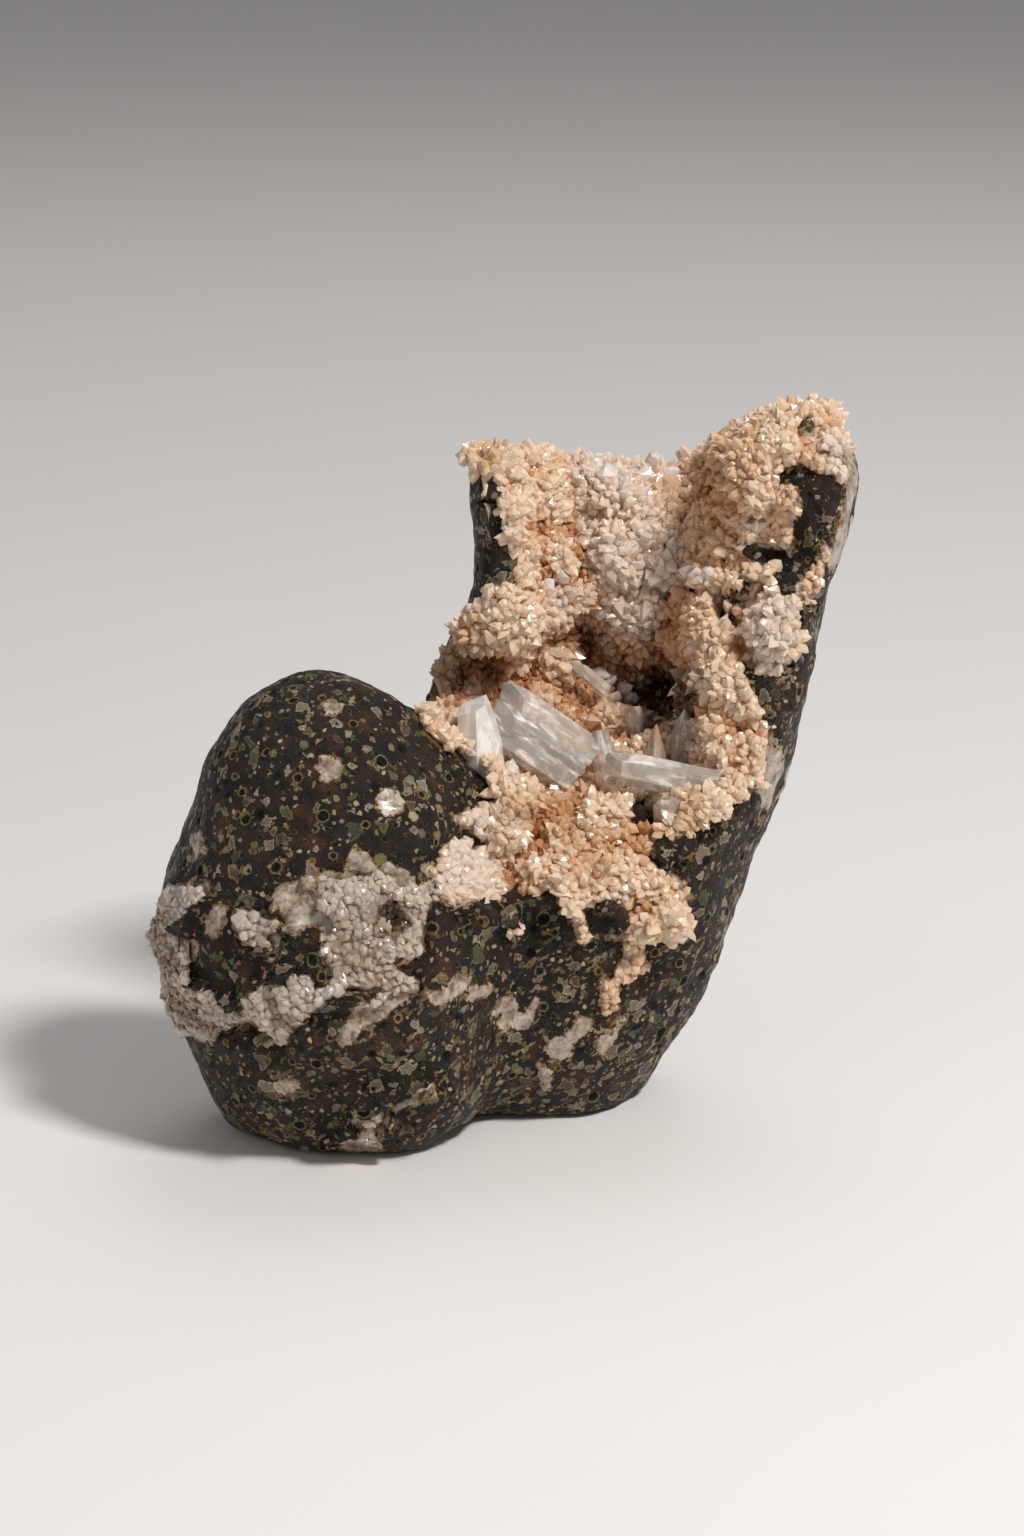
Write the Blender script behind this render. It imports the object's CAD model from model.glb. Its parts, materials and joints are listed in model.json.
"""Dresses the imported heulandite-with-calcite specimen.

The frame holds the stone, its crust of crystals, the pockets in its skin and the calcite
prisms as plain solids. Here each gets its finished surface: a basalt skin with gas bubbles
and zeolite flecks, a druse of rounded heulandite grains, and clear bevelled calcite.

Lengths in the tables are millimetres. Picture points are pixels of a 1024 by 1536 picture
taken by the eye below, and each is put on the surface that carries it.
"""

import itertools
import json
import logging
import math
from dataclasses import dataclass, field
from enum import Enum

import bmesh
import bpy
import numpy as np
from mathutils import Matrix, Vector
from mathutils.bvhtree import BVHTree

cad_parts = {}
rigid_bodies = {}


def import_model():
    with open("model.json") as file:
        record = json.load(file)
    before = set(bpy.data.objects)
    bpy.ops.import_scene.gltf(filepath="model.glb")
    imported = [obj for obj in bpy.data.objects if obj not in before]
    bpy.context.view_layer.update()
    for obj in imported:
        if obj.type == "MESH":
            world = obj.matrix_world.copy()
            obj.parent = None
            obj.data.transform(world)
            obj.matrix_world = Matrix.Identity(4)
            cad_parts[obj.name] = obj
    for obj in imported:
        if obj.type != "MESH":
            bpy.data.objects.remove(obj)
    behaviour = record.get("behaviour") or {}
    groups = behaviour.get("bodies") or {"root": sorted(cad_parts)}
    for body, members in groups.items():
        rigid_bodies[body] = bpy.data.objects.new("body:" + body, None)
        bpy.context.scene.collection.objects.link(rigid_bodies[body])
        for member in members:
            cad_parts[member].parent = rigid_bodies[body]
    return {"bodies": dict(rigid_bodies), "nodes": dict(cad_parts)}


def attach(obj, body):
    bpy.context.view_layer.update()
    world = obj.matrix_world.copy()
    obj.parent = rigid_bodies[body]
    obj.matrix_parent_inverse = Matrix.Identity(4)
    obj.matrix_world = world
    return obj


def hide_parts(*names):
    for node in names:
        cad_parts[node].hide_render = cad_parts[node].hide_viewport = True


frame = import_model()

MM = 0.001
LOG = logging.getLogger("specimen")

Array = np.ndarray
Pixels = tuple[tuple[float, float], ...]


class Slot(Enum):
    """The record's finishes."""

    BASALT = "basalt"
    HEULANDITE = "heulandite"
    PALE = "pale_heulandite"
    CALCITE = "calcite"


# Repeatable noise


def hashed(cells: Array, seed: int) -> Array:
    """Gives each cell of a grid its own number from 0 to 1.

    The three whole numbers are multiplied by large odd numbers, joined by exclusive or,
    and stirred with two shifts and one more product.

    Args:
        cells: whole-number cells, shape (..., 3).
        seed: which set of numbers to draw.

    Returns:
        The numbers, shape (...).
    """
    keys = cells.astype(np.int64).astype(np.uint64)
    start = np.uint64((seed + 1) * 0x9E3779B97F4A7C15 % 2**64)
    mixed = keys[..., 0] * np.uint64(0xD6E8FEB86659FD93)
    mixed ^= keys[..., 1] * np.uint64(0xA5A3564E9F2C8D31)
    mixed ^= keys[..., 2] * np.uint64(0xC2B2AE3D27D4EB4F)
    mixed ^= start
    mixed ^= mixed >> np.uint64(29)
    mixed *= np.uint64(0xBF58476D1CE4E5B9)
    mixed ^= mixed >> np.uint64(32)
    return (mixed >> np.uint64(40)).astype(float) / 2.0**24


def waves(points: Array, size: float, seed: int) -> Array:
    """Smooth noise from -1 to 1 with bumps of one size.

    Random numbers at the corners of cubes, blended by the smooth step 3t^2 - 2t^3.

    Args:
        points: places in mm, shape (n, 3).
        size: the cube's side in mm.
        seed: which noise.

    Returns:
        The noise at each point, shape (n,).
    """
    scaled = points / size
    base = np.floor(scaled)
    part = scaled - base
    part = part * part * (3 - 2 * part)
    total = np.zeros(len(points))
    for corner in itertools.product((0, 1), repeat=3):
        weight = np.prod(np.where(np.array(corner) == 1, part, 1 - part), axis=1)
        total += weight * hashed(base + corner, seed)
    return total * 2 - 1


def clouds(points: Array, size: float, seed: int, octaves: int = 3) -> Array:
    """Sums waves of size, size/2, size/4 and so on, each half as high as the last."""
    total = sum(waves(points, size / 2**k, seed + 7 * k) / 2**k for k in range(octaves))
    return total / (2 - 2.0 ** (1 - octaves))


def bubbles(
    points: Array, spacing: float, radii: tuple[float, float], chance: float, seed: int
) -> tuple[Array, Array]:
    """How deep each point lies in the nearest of many random balls.

    Each cube of a grid holds one ball at a random place with a random radius, or none.
    The depth is the radius less the distance to the centre, largest over the cubes around.

    Args:
        points: places in mm, shape (n, 3).
        spacing: the cube's side.
        radii: least and greatest radius.
        chance: the share of cubes that hold a ball.
        seed: which set of balls.

    Returns:
        The depth in mm, below zero outside, and the nearest ball's own number from 0 to 1.
    """
    base = np.floor(points / spacing)
    depth = np.full(len(points), -spacing)
    tone = np.zeros(len(points))
    for step in itertools.product((-1, 0, 1), repeat=3):
        cell = base + step
        offset = np.stack([hashed(cell, seed + axis) for axis in range(3)], axis=1)
        radius = radii[0] + (radii[1] - radii[0]) * hashed(cell, seed + 3) ** 2
        inside = radius - np.linalg.norm(points - (cell + offset) * spacing, axis=1)
        inside = np.where(hashed(cell, seed + 4) < chance, inside, -spacing)
        tone = np.where(inside > depth, hashed(cell, seed + 5), tone)
        depth = np.maximum(depth, inside)
    return depth, tone


def step_up(values: Array, low: float, high: float) -> Array:
    """Rises smoothly from 0 at low to 1 at high."""
    share = np.clip((values - low) / (high - low), 0.0, 1.0)
    return share * share * (3 - 2 * share)


# The eye and outlines drawn for it


@dataclass(frozen=True)
class Eye:
    """The place the picture is taken from, in mm, and its lens."""

    aim: tuple[float, float, float] = (0.75, -0.13, 45.0)
    distance: float = 471.0
    elevation: float = math.radians(16.0)
    lens: float = 85.0
    sensor: float = 36.0
    width: int = 1024
    height: int = 1536

    def axes(self) -> tuple[Array, Array, Array]:
        """The picture's right, up and forward directions."""
        rise, level = math.sin(self.elevation), math.cos(self.elevation)
        return np.array((1.0, 0, 0)), np.array((0, rise, level)), np.array((0, level, -rise))

    def place(self) -> Array:
        """Where the eye stands, in mm."""
        return np.array(self.aim) - self.axes()[2] * self.distance

    def reach(self) -> float:
        """Pixels across the picture for each unit of slope."""
        return self.lens / self.sensor * self.height

    def seen(self, points: Array) -> Array:
        """The picture points of places in mm, shape (n, 2), x to the right and y down."""
        right, up, forward = self.axes()
        offset = points - self.place()
        depth = offset @ forward
        across = self.width / 2 + self.reach() * (offset @ right) / depth
        down = self.height / 2 - self.reach() * (offset @ up) / depth
        return np.stack((across, down), axis=1)

    def facing(self, points: Array, normals: Array) -> Array:
        """How squarely each point faces the eye, from -1 to 1."""
        toward = self.place() - points
        toward /= np.linalg.norm(toward, axis=1, keepdims=True)
        return np.sum(toward * normals, axis=1)

    def ray(self, pixel: tuple[float, float]) -> Array:
        """The direction from the eye through a picture point."""
        right, up, forward = self.axes()
        across = (pixel[0] - self.width / 2) / self.reach()
        down = (pixel[1] - self.height / 2) / self.reach()
        direction = forward + right * across - up * down
        return direction / np.linalg.norm(direction)

    def camera(self) -> bpy.types.Object:
        """Makes the scene's camera."""
        data = bpy.data.cameras.new("eye")
        data.lens = self.lens
        data.sensor_width = self.sensor
        made = bpy.data.objects.new("eye", data)
        made.location = Vector(self.place()) * MM
        made.rotation_euler = (math.pi / 2 - self.elevation, 0.0, 0.0)
        bpy.context.scene.collection.objects.link(made)
        bpy.context.scene.camera = made
        return made


EYE = Eye()
PIXEL_MM = EYE.distance / EYE.reach()


def depth_in(outline: Pixels, pixels: Array) -> Array:
    """How far picture points lie inside an outline, in mm at the object, below zero outside.

    The distance is to the nearest side, and a point is inside when a level line from it
    crosses an odd number of sides.
    """
    corners = np.array(outline)
    nearest = np.full(len(pixels), np.inf)
    inside = np.zeros(len(pixels), dtype=bool)
    for start, end in zip(corners, np.roll(corners, -1, axis=0)):
        side = end - start
        along = np.clip((pixels - start) @ side / (side @ side), 0.0, 1.0)
        away = np.linalg.norm(pixels - start - along[:, None] * side, axis=1)
        nearest = np.minimum(nearest, away)
        crosses = (start[1] > pixels[:, 1]) != (end[1] > pixels[:, 1])
        if side[1] != 0:
            meets = start[0] + side[0] * (pixels[:, 1] - start[1]) / side[1]
            inside ^= crosses & (pixels[:, 0] < meets)
    return np.where(inside, nearest, -nearest) * PIXEL_MM


def depth_in_any(outlines: tuple[Pixels, ...], pixels: Array) -> Array:
    """The greatest depth inside any of the outlines."""
    return np.max([depth_in(outline, pixels) for outline in outlines], axis=0)


# Surfaces as arrays


@dataclass
class Surface:
    """A mesh as arrays: points in mm, and faces that all have the same number of corners."""

    points: Array
    faces: Array
    traits: dict[str, Array] = field(default_factory=dict)

    @classmethod
    def of(cls, mesh: bpy.types.Mesh) -> "Surface":
        """Reads a mesh of all quads as quads, and any other as triangles."""
        points = np.empty(len(mesh.vertices) * 3)
        mesh.vertices.foreach_get("co", points)
        corners = len(mesh.loops) // max(1, len(mesh.polygons))
        if corners == 4 and len(mesh.loops) == 4 * len(mesh.polygons):
            faces = np.empty(len(mesh.loops), dtype=np.int32)
            mesh.loops.foreach_get("vertex_index", faces)
            faces = faces.reshape(-1, 4)
        else:
            mesh.calc_loop_triangles()
            faces = np.empty(len(mesh.loop_triangles) * 3, dtype=np.int32)
            mesh.loop_triangles.foreach_get("vertices", faces)
            faces = faces.reshape(-1, 3)
        return cls(points.reshape(-1, 3) / MM, faces)

    @classmethod
    def joined(cls, parts: list["Surface"]) -> "Surface":
        """Puts surfaces of triangles or quads into one, all as triangles."""
        points, faces, start = [], [], 0
        for part in parts:
            points.append(part.points)
            faces.append(part.triangles() + start)
            start += len(part.points)
        return cls(np.concatenate(points), np.concatenate(faces))

    def triangles(self) -> Array:
        """The faces as triangles."""
        if self.faces.shape[1] == 3:
            return self.faces
        return np.concatenate((self.faces[:, [0, 1, 2]], self.faces[:, [0, 2, 3]]))

    def normals(self) -> Array:
        """Unit normals at the points: the sum of the normals of the faces around each."""
        corners = self.triangles()
        a, b, c = (self.points[corners[:, k]] for k in range(3))
        tilt = np.cross(b - a, c - a)
        total = np.zeros_like(self.points)
        for axis in range(3):
            for corner in range(3):
                total[:, axis] += np.bincount(
                    corners[:, corner], weights=tilt[:, axis], minlength=len(total)
                )
        return total / np.maximum(np.linalg.norm(total, axis=1, keepdims=True), 1e-12)

    def smoothed(self, rounds: int, share: float = 0.5, cap: float | None = None) -> "Surface":
        """Moves each point toward the mean of its neighbours, some rounds over.

        Args:
            rounds: how many times.
            share: how far toward the mean each time.
            cap: the furthest any point may end from where it was, in mm.

        Returns:
            A new surface with the same faces.
        """
        starts = self.faces.ravel()
        ends = np.roll(self.faces, -1, axis=1).ravel()
        count = np.maximum(np.bincount(starts, minlength=len(self.points)), 1)
        points = self.points.copy()
        for _ in range(rounds):
            for axis in range(3):
                mean = np.bincount(starts, weights=points[ends, axis], minlength=len(points)) / count
                points[:, axis] += (mean - points[:, axis]) * share
        if cap is not None:
            moved = points - self.points
            far = np.linalg.norm(moved, axis=1, keepdims=True)
            points = self.points + moved * np.minimum(1.0, cap / np.maximum(far, 1e-9))
        return Surface(points, self.faces, dict(self.traits))

    def object(self, name: str, smooth: bool = True) -> bpy.types.Object:
        """Writes the surface, with its traits as point attributes, into a new object."""
        mesh = bpy.data.meshes.new(name)
        corners = self.faces.shape[1]
        mesh.vertices.add(len(self.points))
        mesh.vertices.foreach_set("co", (self.points * MM).astype(np.float32).ravel())
        mesh.loops.add(self.faces.size)
        mesh.loops.foreach_set("vertex_index", self.faces.astype(np.int32).ravel())
        mesh.polygons.add(len(self.faces))
        mesh.polygons.foreach_set(
            "loop_start", np.arange(0, self.faces.size, corners, dtype=np.int32)
        )
        mesh.polygons.foreach_set("use_smooth", np.full(len(self.faces), smooth))
        mesh.update(calc_edges=True)
        for trait, values in self.traits.items():
            kept = mesh.attributes.new(trait, "FLOAT", "POINT")
            kept.data.foreach_set("value", values.astype(np.float32))
        made = bpy.data.objects.new(name, mesh)
        bpy.context.scene.collection.objects.link(made)
        return made


def applied(made: bpy.types.Object) -> Surface:
    """The surface of an object with its modifiers applied. The object goes."""
    graph = bpy.context.evaluated_depsgraph_get()
    mesh = bpy.data.meshes.new_from_object(made.evaluated_get(graph))
    surface = Surface.of(mesh)
    for kept in mesh.attributes:
        if kept.domain == "POINT" and kept.data_type == "FLOAT":
            values = np.empty(len(mesh.vertices))
            kept.data.foreach_get("value", values)
            surface.traits[kept.name] = values
    bpy.data.objects.remove(made, do_unlink=True)
    bpy.data.meshes.remove(mesh)
    return surface


def fused(surface: Surface, voxel: float) -> Surface:
    """Joins overlapping closed shapes into one even quad mesh.

    Args:
        surface: the shapes.
        voxel: the mesh's spacing in mm.

    Returns:
        The fused surface.
    """
    raw = surface.object("raw")
    remesh = raw.modifiers.new("Fuse", "REMESH")
    remesh.mode = "VOXEL"
    remesh.voxel_size = voxel * MM
    return applied(raw)


def node_surface(name: str) -> Surface:
    """A CAD node's shape with its doubled points merged."""
    bm = bmesh.new()
    bm.from_mesh(frame["nodes"][name].data)
    bmesh.ops.remove_doubles(bm, verts=bm.verts[:], dist=0.001 * MM)
    mesh = bpy.data.meshes.new(name + "_copy")
    bm.to_mesh(mesh)
    bm.free()
    surface = Surface.of(mesh)
    bpy.data.meshes.remove(mesh)
    return surface


def gaps(surface: Surface, target: bpy.types.Object) -> Array:
    """How far each point of a surface lies from another object's faces, in mm.

    A geometry node group with a Geometry Proximity node measures it and stores it.
    """
    group = bpy.data.node_groups.new("gap", "GeometryNodeTree")
    for side in ("INPUT", "OUTPUT"):
        group.interface.new_socket("Geometry", in_out=side, socket_type="NodeSocketGeometry")
    enter, leave = group.nodes.new("NodeGroupInput"), group.nodes.new("NodeGroupOutput")
    other = group.nodes.new("GeometryNodeObjectInfo")
    other.inputs["Object"].default_value = target
    near = group.nodes.new("GeometryNodeProximity")
    store = group.nodes.new("GeometryNodeStoreNamedAttribute")
    store.inputs["Name"].default_value = "gap"
    group.links.new(other.outputs["Geometry"], near.inputs[0])
    group.links.new(enter.outputs[0], store.inputs["Geometry"])
    group.links.new(near.outputs["Distance"], store.inputs["Value"])
    group.links.new(store.outputs[0], leave.inputs[0])
    bare = Surface(surface.points, surface.faces).object("probe")
    measure = bare.modifiers.new("Gap", "NODES")
    measure.node_group = group
    found = applied(bare).traits["gap"] / MM
    bpy.data.node_groups.remove(group)
    return found


def cover(surface: Surface, target: bpy.types.Object, reach: float = 8.0) -> Array:
    """How high another object stands over each point, along the point's normal, in mm.

    Rays come in along the normals from a reach away. One that meets the target after a
    distance t tells that the target stands the reach less t over the point. A geometry
    node group with a Raycast node measures it.
    """
    group = bpy.data.node_groups.new("cover", "GeometryNodeTree")
    for side in ("INPUT", "OUTPUT"):
        group.interface.new_socket("Geometry", in_out=side, socket_type="NodeSocketGeometry")
    kinds = (
        "NodeGroupInput", "NodeGroupOutput", "GeometryNodeObjectInfo", "GeometryNodeInputPosition",
        "GeometryNodeInputNormal", "GeometryNodeRaycast", "GeometryNodeStoreNamedAttribute",
        "ShaderNodeMath", "ShaderNodeMath",
    )
    enter, leave, other, place, normal, ray, store, less, only = map(group.nodes.new, kinds)
    out, start = group.nodes.new("ShaderNodeVectorMath"), group.nodes.new("ShaderNodeVectorMath")
    back = group.nodes.new("ShaderNodeVectorMath")
    out.operation, start.operation, back.operation = "SCALE", "ADD", "SCALE"
    less.operation, only.operation = "SUBTRACT", "MULTIPLY"
    out.inputs["Scale"].default_value = reach * MM
    back.inputs["Scale"].default_value = -1.0
    less.inputs[0].default_value = reach * MM
    other.inputs["Object"].default_value = target
    ray.inputs["Ray Length"].default_value = reach * MM
    store.inputs["Name"].default_value = "cover"
    for left, right in (
        (normal.outputs[0], out.inputs[0]), (place.outputs[0], start.inputs[0]),
        (out.outputs[0], start.inputs[1]), (normal.outputs[0], back.inputs[0]),
        (other.outputs["Geometry"], ray.inputs["Target Geometry"]),
        (start.outputs[0], ray.inputs["Source Position"]),
        (back.outputs[0], ray.inputs["Ray Direction"]),
        (ray.outputs["Hit Distance"], less.inputs[1]), (less.outputs[0], only.inputs[0]),
        (ray.outputs["Is Hit"], only.inputs[1]), (enter.outputs[0], store.inputs["Geometry"]),
        (only.outputs[0], store.inputs["Value"]), (store.outputs[0], leave.inputs[0]),
    ):
        group.links.new(left, right)
    bare = Surface(surface.points, surface.faces).object("probe")
    measure = bare.modifiers.new("Cover", "NODES")
    measure.node_group = group
    found = applied(bare).traits["cover"] / MM
    bpy.data.node_groups.remove(group)
    return found


def tree_of(surface: Surface) -> BVHTree:
    """A search tree over a surface, in mm."""
    return BVHTree.FromPolygons(surface.points.tolist(), surface.triangles().tolist())


def spot_on(tree: BVHTree, pixel: tuple[float, float]) -> tuple[Array, Array]:
    """Where the eye's ray through a picture point meets a surface, and the normal there."""
    place, normal, _, _ = tree.ray_cast(Vector(EYE.place()), Vector(EYE.ray(pixel)))
    if place is None:
        raise ValueError(f"the ray through {pixel} meets nothing")
    return np.array(place), np.array(normal)


# Materials


class Wire:
    """A value socket of a shader that takes part in Python's arithmetic."""

    def __init__(self, board: "Board", socket: bpy.types.NodeSocket) -> None:
        """Wraps one output socket of a board."""
        self.board = board
        self.socket = socket

    def _with(self, kind: str, *others: "Wire | float") -> "Wire":
        """A Math node of that kind on this value and others."""
        return self.board.math(kind, self, *others)

    def __add__(self, other: "Wire | float") -> "Wire":
        """This plus other."""
        return self._with("ADD", other)

    def __radd__(self, other: float) -> "Wire":
        """Other plus this."""
        return self._with("ADD", other)

    def __sub__(self, other: "Wire | float") -> "Wire":
        """This less other."""
        return self._with("SUBTRACT", other)

    def __rsub__(self, other: float) -> "Wire":
        """Other less this."""
        return self.board.math("SUBTRACT", other, self)

    def __mul__(self, other: "Wire | float") -> "Wire":
        """This times other."""
        return self._with("MULTIPLY", other)

    def __rmul__(self, other: float) -> "Wire":
        """Other times this."""
        return self._with("MULTIPLY", other)

    def __truediv__(self, other: "Wire | float") -> "Wire":
        """This over other."""
        return self._with("DIVIDE", other)

    def __lt__(self, other: "Wire | float") -> "Wire":
        """1 where this is under other, else 0."""
        return self._with("LESS_THAN", other)

    def __gt__(self, other: "Wire | float") -> "Wire":
        """1 where this is over other, else 0."""
        return self._with("GREATER_THAN", other)

    def power(self, other: float) -> "Wire":
        """This to a power."""
        return self._with("POWER", other)

    def greatest(self, other: "Wire | float") -> "Wire":
        """The greater of this and other."""
        return self._with("MAXIMUM", other)

    def least(self, other: "Wire | float") -> "Wire":
        """The lesser of this and other."""
        return self._with("MINIMUM", other)

    def size(self) -> "Wire":
        """This without its sign."""
        return self._with("ABSOLUTE")

    def step(self, low: float, high: float) -> "Wire":
        """Rises smoothly from 0 at low to 1 at high."""
        return self.board.ramped(self, low, high)


Value = Wire | float
Colour = tuple[float, float, float]


class Board:
    """A material's node tree with short ways to add to it."""

    def __init__(self, name: str) -> None:
        """Makes an empty material of that name."""
        self.material = bpy.data.materials.new(name)
        self.material.use_nodes = True
        self.tree = self.material.node_tree
        self.tree.nodes.clear()
        self.output = self.tree.nodes.new("ShaderNodeOutputMaterial")

    def node(self, kind: str, settings: dict | None = None, **inputs: object) -> bpy.types.Node:
        """Adds a node.

        Args:
            kind: the node's type.
            settings: properties set before the sockets.
            **inputs: values, wires or sockets by socket name, with _ for a space.

        Returns:
            The node.
        """
        made = self.tree.nodes.new(kind)
        for key, value in (settings or {}).items():
            setattr(made, key, value)
        for key, value in inputs.items():
            self.join(made.inputs[key.replace("_", " ")], value)
        return made

    def join(self, socket: bpy.types.NodeSocket, value: object) -> None:
        """Links a wire or socket to an input, or sets its value."""
        if isinstance(value, Wire):
            value = value.socket
        if isinstance(value, bpy.types.NodeSocket):
            self.tree.links.new(value, socket)
        elif isinstance(value, tuple) and len(value) == 3 and socket.type == "RGBA":
            socket.default_value = (*value, 1.0)
        else:
            socket.default_value = value

    def math(self, kind: str, *values: Value) -> Wire:
        """A Math node on one to three values."""
        made = self.node("ShaderNodeMath", {"operation": kind})
        for socket, value in zip(made.inputs, values):
            self.join(socket, value)
        return Wire(self, made.outputs[0])

    def ramped(self, value: Wire, low: float, high: float) -> Wire:
        """A smooth step from 0 at low to 1 at high, by a Map Range node."""
        settings = {"interpolation_type": "SMOOTHSTEP"}
        made = self.node("ShaderNodeMapRange", settings, Value=value, From_Min=low, From_Max=high)
        return Wire(self, made.outputs["Result"])

    def trait(self, name: str) -> Wire:
        """A point attribute."""
        made = self.node("ShaderNodeAttribute", {"attribute_name": name})
        return Wire(self, made.outputs["Fac"])

    def place(self) -> bpy.types.NodeSocket:
        """The surface's own coordinates."""
        return self.node("ShaderNodeTexCoord").outputs["Object"]

    def slanted(self, stretch: float, rise: float) -> bpy.types.NodeSocket:
        """The surface's own coordinates, with patterns drawn out along a line across the front.

        Args:
            stretch: how many times longer along the line.
            rise: the line's rise from +X toward +Z in degrees.

        Returns:
            The coordinates.
        """
        made = self.node(
            "ShaderNodeMapping", {"vector_type": "TEXTURE"}, Vector=self.place(),
            Rotation=(0.0, -math.radians(rise), 0.0), Scale=(stretch, 1.0, 1.0),
        )
        return made.outputs["Vector"]

    def noise(
        self, size: float, detail: float = 3.0, rough: float = 0.55, shift: float = 0.0,
        place: bpy.types.NodeSocket | None = None,
    ) -> Wire:
        """Noise with bumps of a size in mm, about 0 to 1 with its middle at 0.5."""
        if place is None:
            place = self.place()
        if shift:
            moved = (shift, shift * 0.7, -shift * 0.4)
            place = self.node("ShaderNodeMapping", Vector=place, Location=moved).outputs["Vector"]
        made = self.node(
            "ShaderNodeTexNoise", Vector=place, Scale=1 / (size * MM), Detail=detail,
            Roughness=rough,
        )
        return Wire(self, made.outputs["Fac"])

    def bent(self, size: float, reach: float) -> bpy.types.NodeSocket:
        """The surface's own coordinates pushed about by noise of a size, in mm."""
        noise = self.node("ShaderNodeTexNoise", Vector=self.place(), Scale=1 / (size * MM), Detail=2.0)
        centred = self.node("ShaderNodeVectorMath", {"operation": "SUBTRACT"})
        self.join(centred.inputs[0], noise.outputs["Color"])
        self.join(centred.inputs[1], (0.5, 0.5, 0.5))
        scaled = self.node("ShaderNodeVectorMath", {"operation": "SCALE"})
        self.join(scaled.inputs[0], centred.outputs[0])
        self.join(scaled.inputs["Scale"], 2 * reach * MM)
        total = self.node("ShaderNodeVectorMath", {"operation": "ADD"})
        self.join(total.inputs[0], self.place())
        self.join(total.inputs[1], scaled.outputs[0])
        return total.outputs[0]

    def cells(
        self, size: float, place: bpy.types.NodeSocket, shift: float = 0.0
    ) -> tuple[Wire, Wire, Wire]:
        """Random cells of a size in mm.

        Args:
            size: the cells' size.
            place: coordinates, in metres.
            shift: moves the pattern, so that layers differ.

        Returns:
            The distance to the cell's centre in mm, and two random numbers of the cell.
        """
        if shift:
            moved = (shift, -shift * 0.6, shift * 0.8)
            place = self.node("ShaderNodeMapping", Vector=place, Location=moved).outputs["Vector"]
        made = self.node("ShaderNodeTexVoronoi", Vector=place, Scale=1 / (size * MM))
        parts = self.node("ShaderNodeSeparateColor", Color=made.outputs["Color"])
        away = Wire(self, made.outputs["Distance"]) * size
        return away, Wire(self, parts.outputs[0]), Wire(self, parts.outputs[1])

    def shards(
        self, size: float, place: bpy.types.NodeSocket, shift: float
    ) -> tuple[Wire, Wire, Wire]:
        """Random angular cells of a size in mm.

        Args:
            size: the cells' size.
            place: coordinates, in metres.
            shift: moves the pattern, so that layers differ.

        Returns:
            The distance inside the cell's edge in mm, and two random numbers of the cell.
        """
        _, first, second = self.cells(size, place, shift)
        moved = (shift, -shift * 0.6, shift * 0.8)
        place = self.node("ShaderNodeMapping", Vector=place, Location=moved).outputs["Vector"]
        settings = {"feature": "DISTANCE_TO_EDGE"}
        made = self.node("ShaderNodeTexVoronoi", settings, Vector=place, Scale=1 / (size * MM))
        return Wire(self, made.outputs["Distance"]) * size, first, second

    def mixed(self, share: Value, low: object, high: object, kind: str = "MIX") -> object:
        """A colour between low and high."""
        settings = {"data_type": "RGBA", "blend_type": kind, "clamp_factor": True}
        made = self.node("ShaderNodeMix", settings)
        self.join(made.inputs[0], share)
        self.join(made.inputs[6], low)
        self.join(made.inputs[7], high)
        return made.outputs[2]

    def ramp(self, share: Wire, stops: tuple[tuple[float, Colour], ...]) -> bpy.types.NodeSocket:
        """A colour ramp."""
        made = self.node("ShaderNodeValToRGB", Fac=share)
        line = made.color_ramp
        while len(line.elements) < len(stops):
            line.elements.new(0.5)
        for element, (at, colour) in zip(line.elements, stops):
            element.position = at
            element.color = (*colour, 1.0)
        return made.outputs["Color"]

    def bumped(self, height: Wire, depth: float, below: object = None) -> bpy.types.NodeSocket:
        """A bump of a height field whose 1 stands a depth in mm over its 0."""
        made = self.node("ShaderNodeBump", Height=height, Strength=1.0, Distance=depth * MM)
        if below is not None:
            self.join(made.inputs["Normal"], below)
        return made.outputs["Normal"]

    def surface(self, **inputs: object) -> bpy.types.Node:
        """A Principled shader with those sockets set."""
        return self.node("ShaderNodeBsdfPrincipled", None, **inputs)

    def finish(self, shader: bpy.types.Node) -> bpy.types.Material:
        """Ends the material with a shader."""
        self.tree.links.new(shader.outputs[0], self.output.inputs["Surface"])
        return self.material


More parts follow.
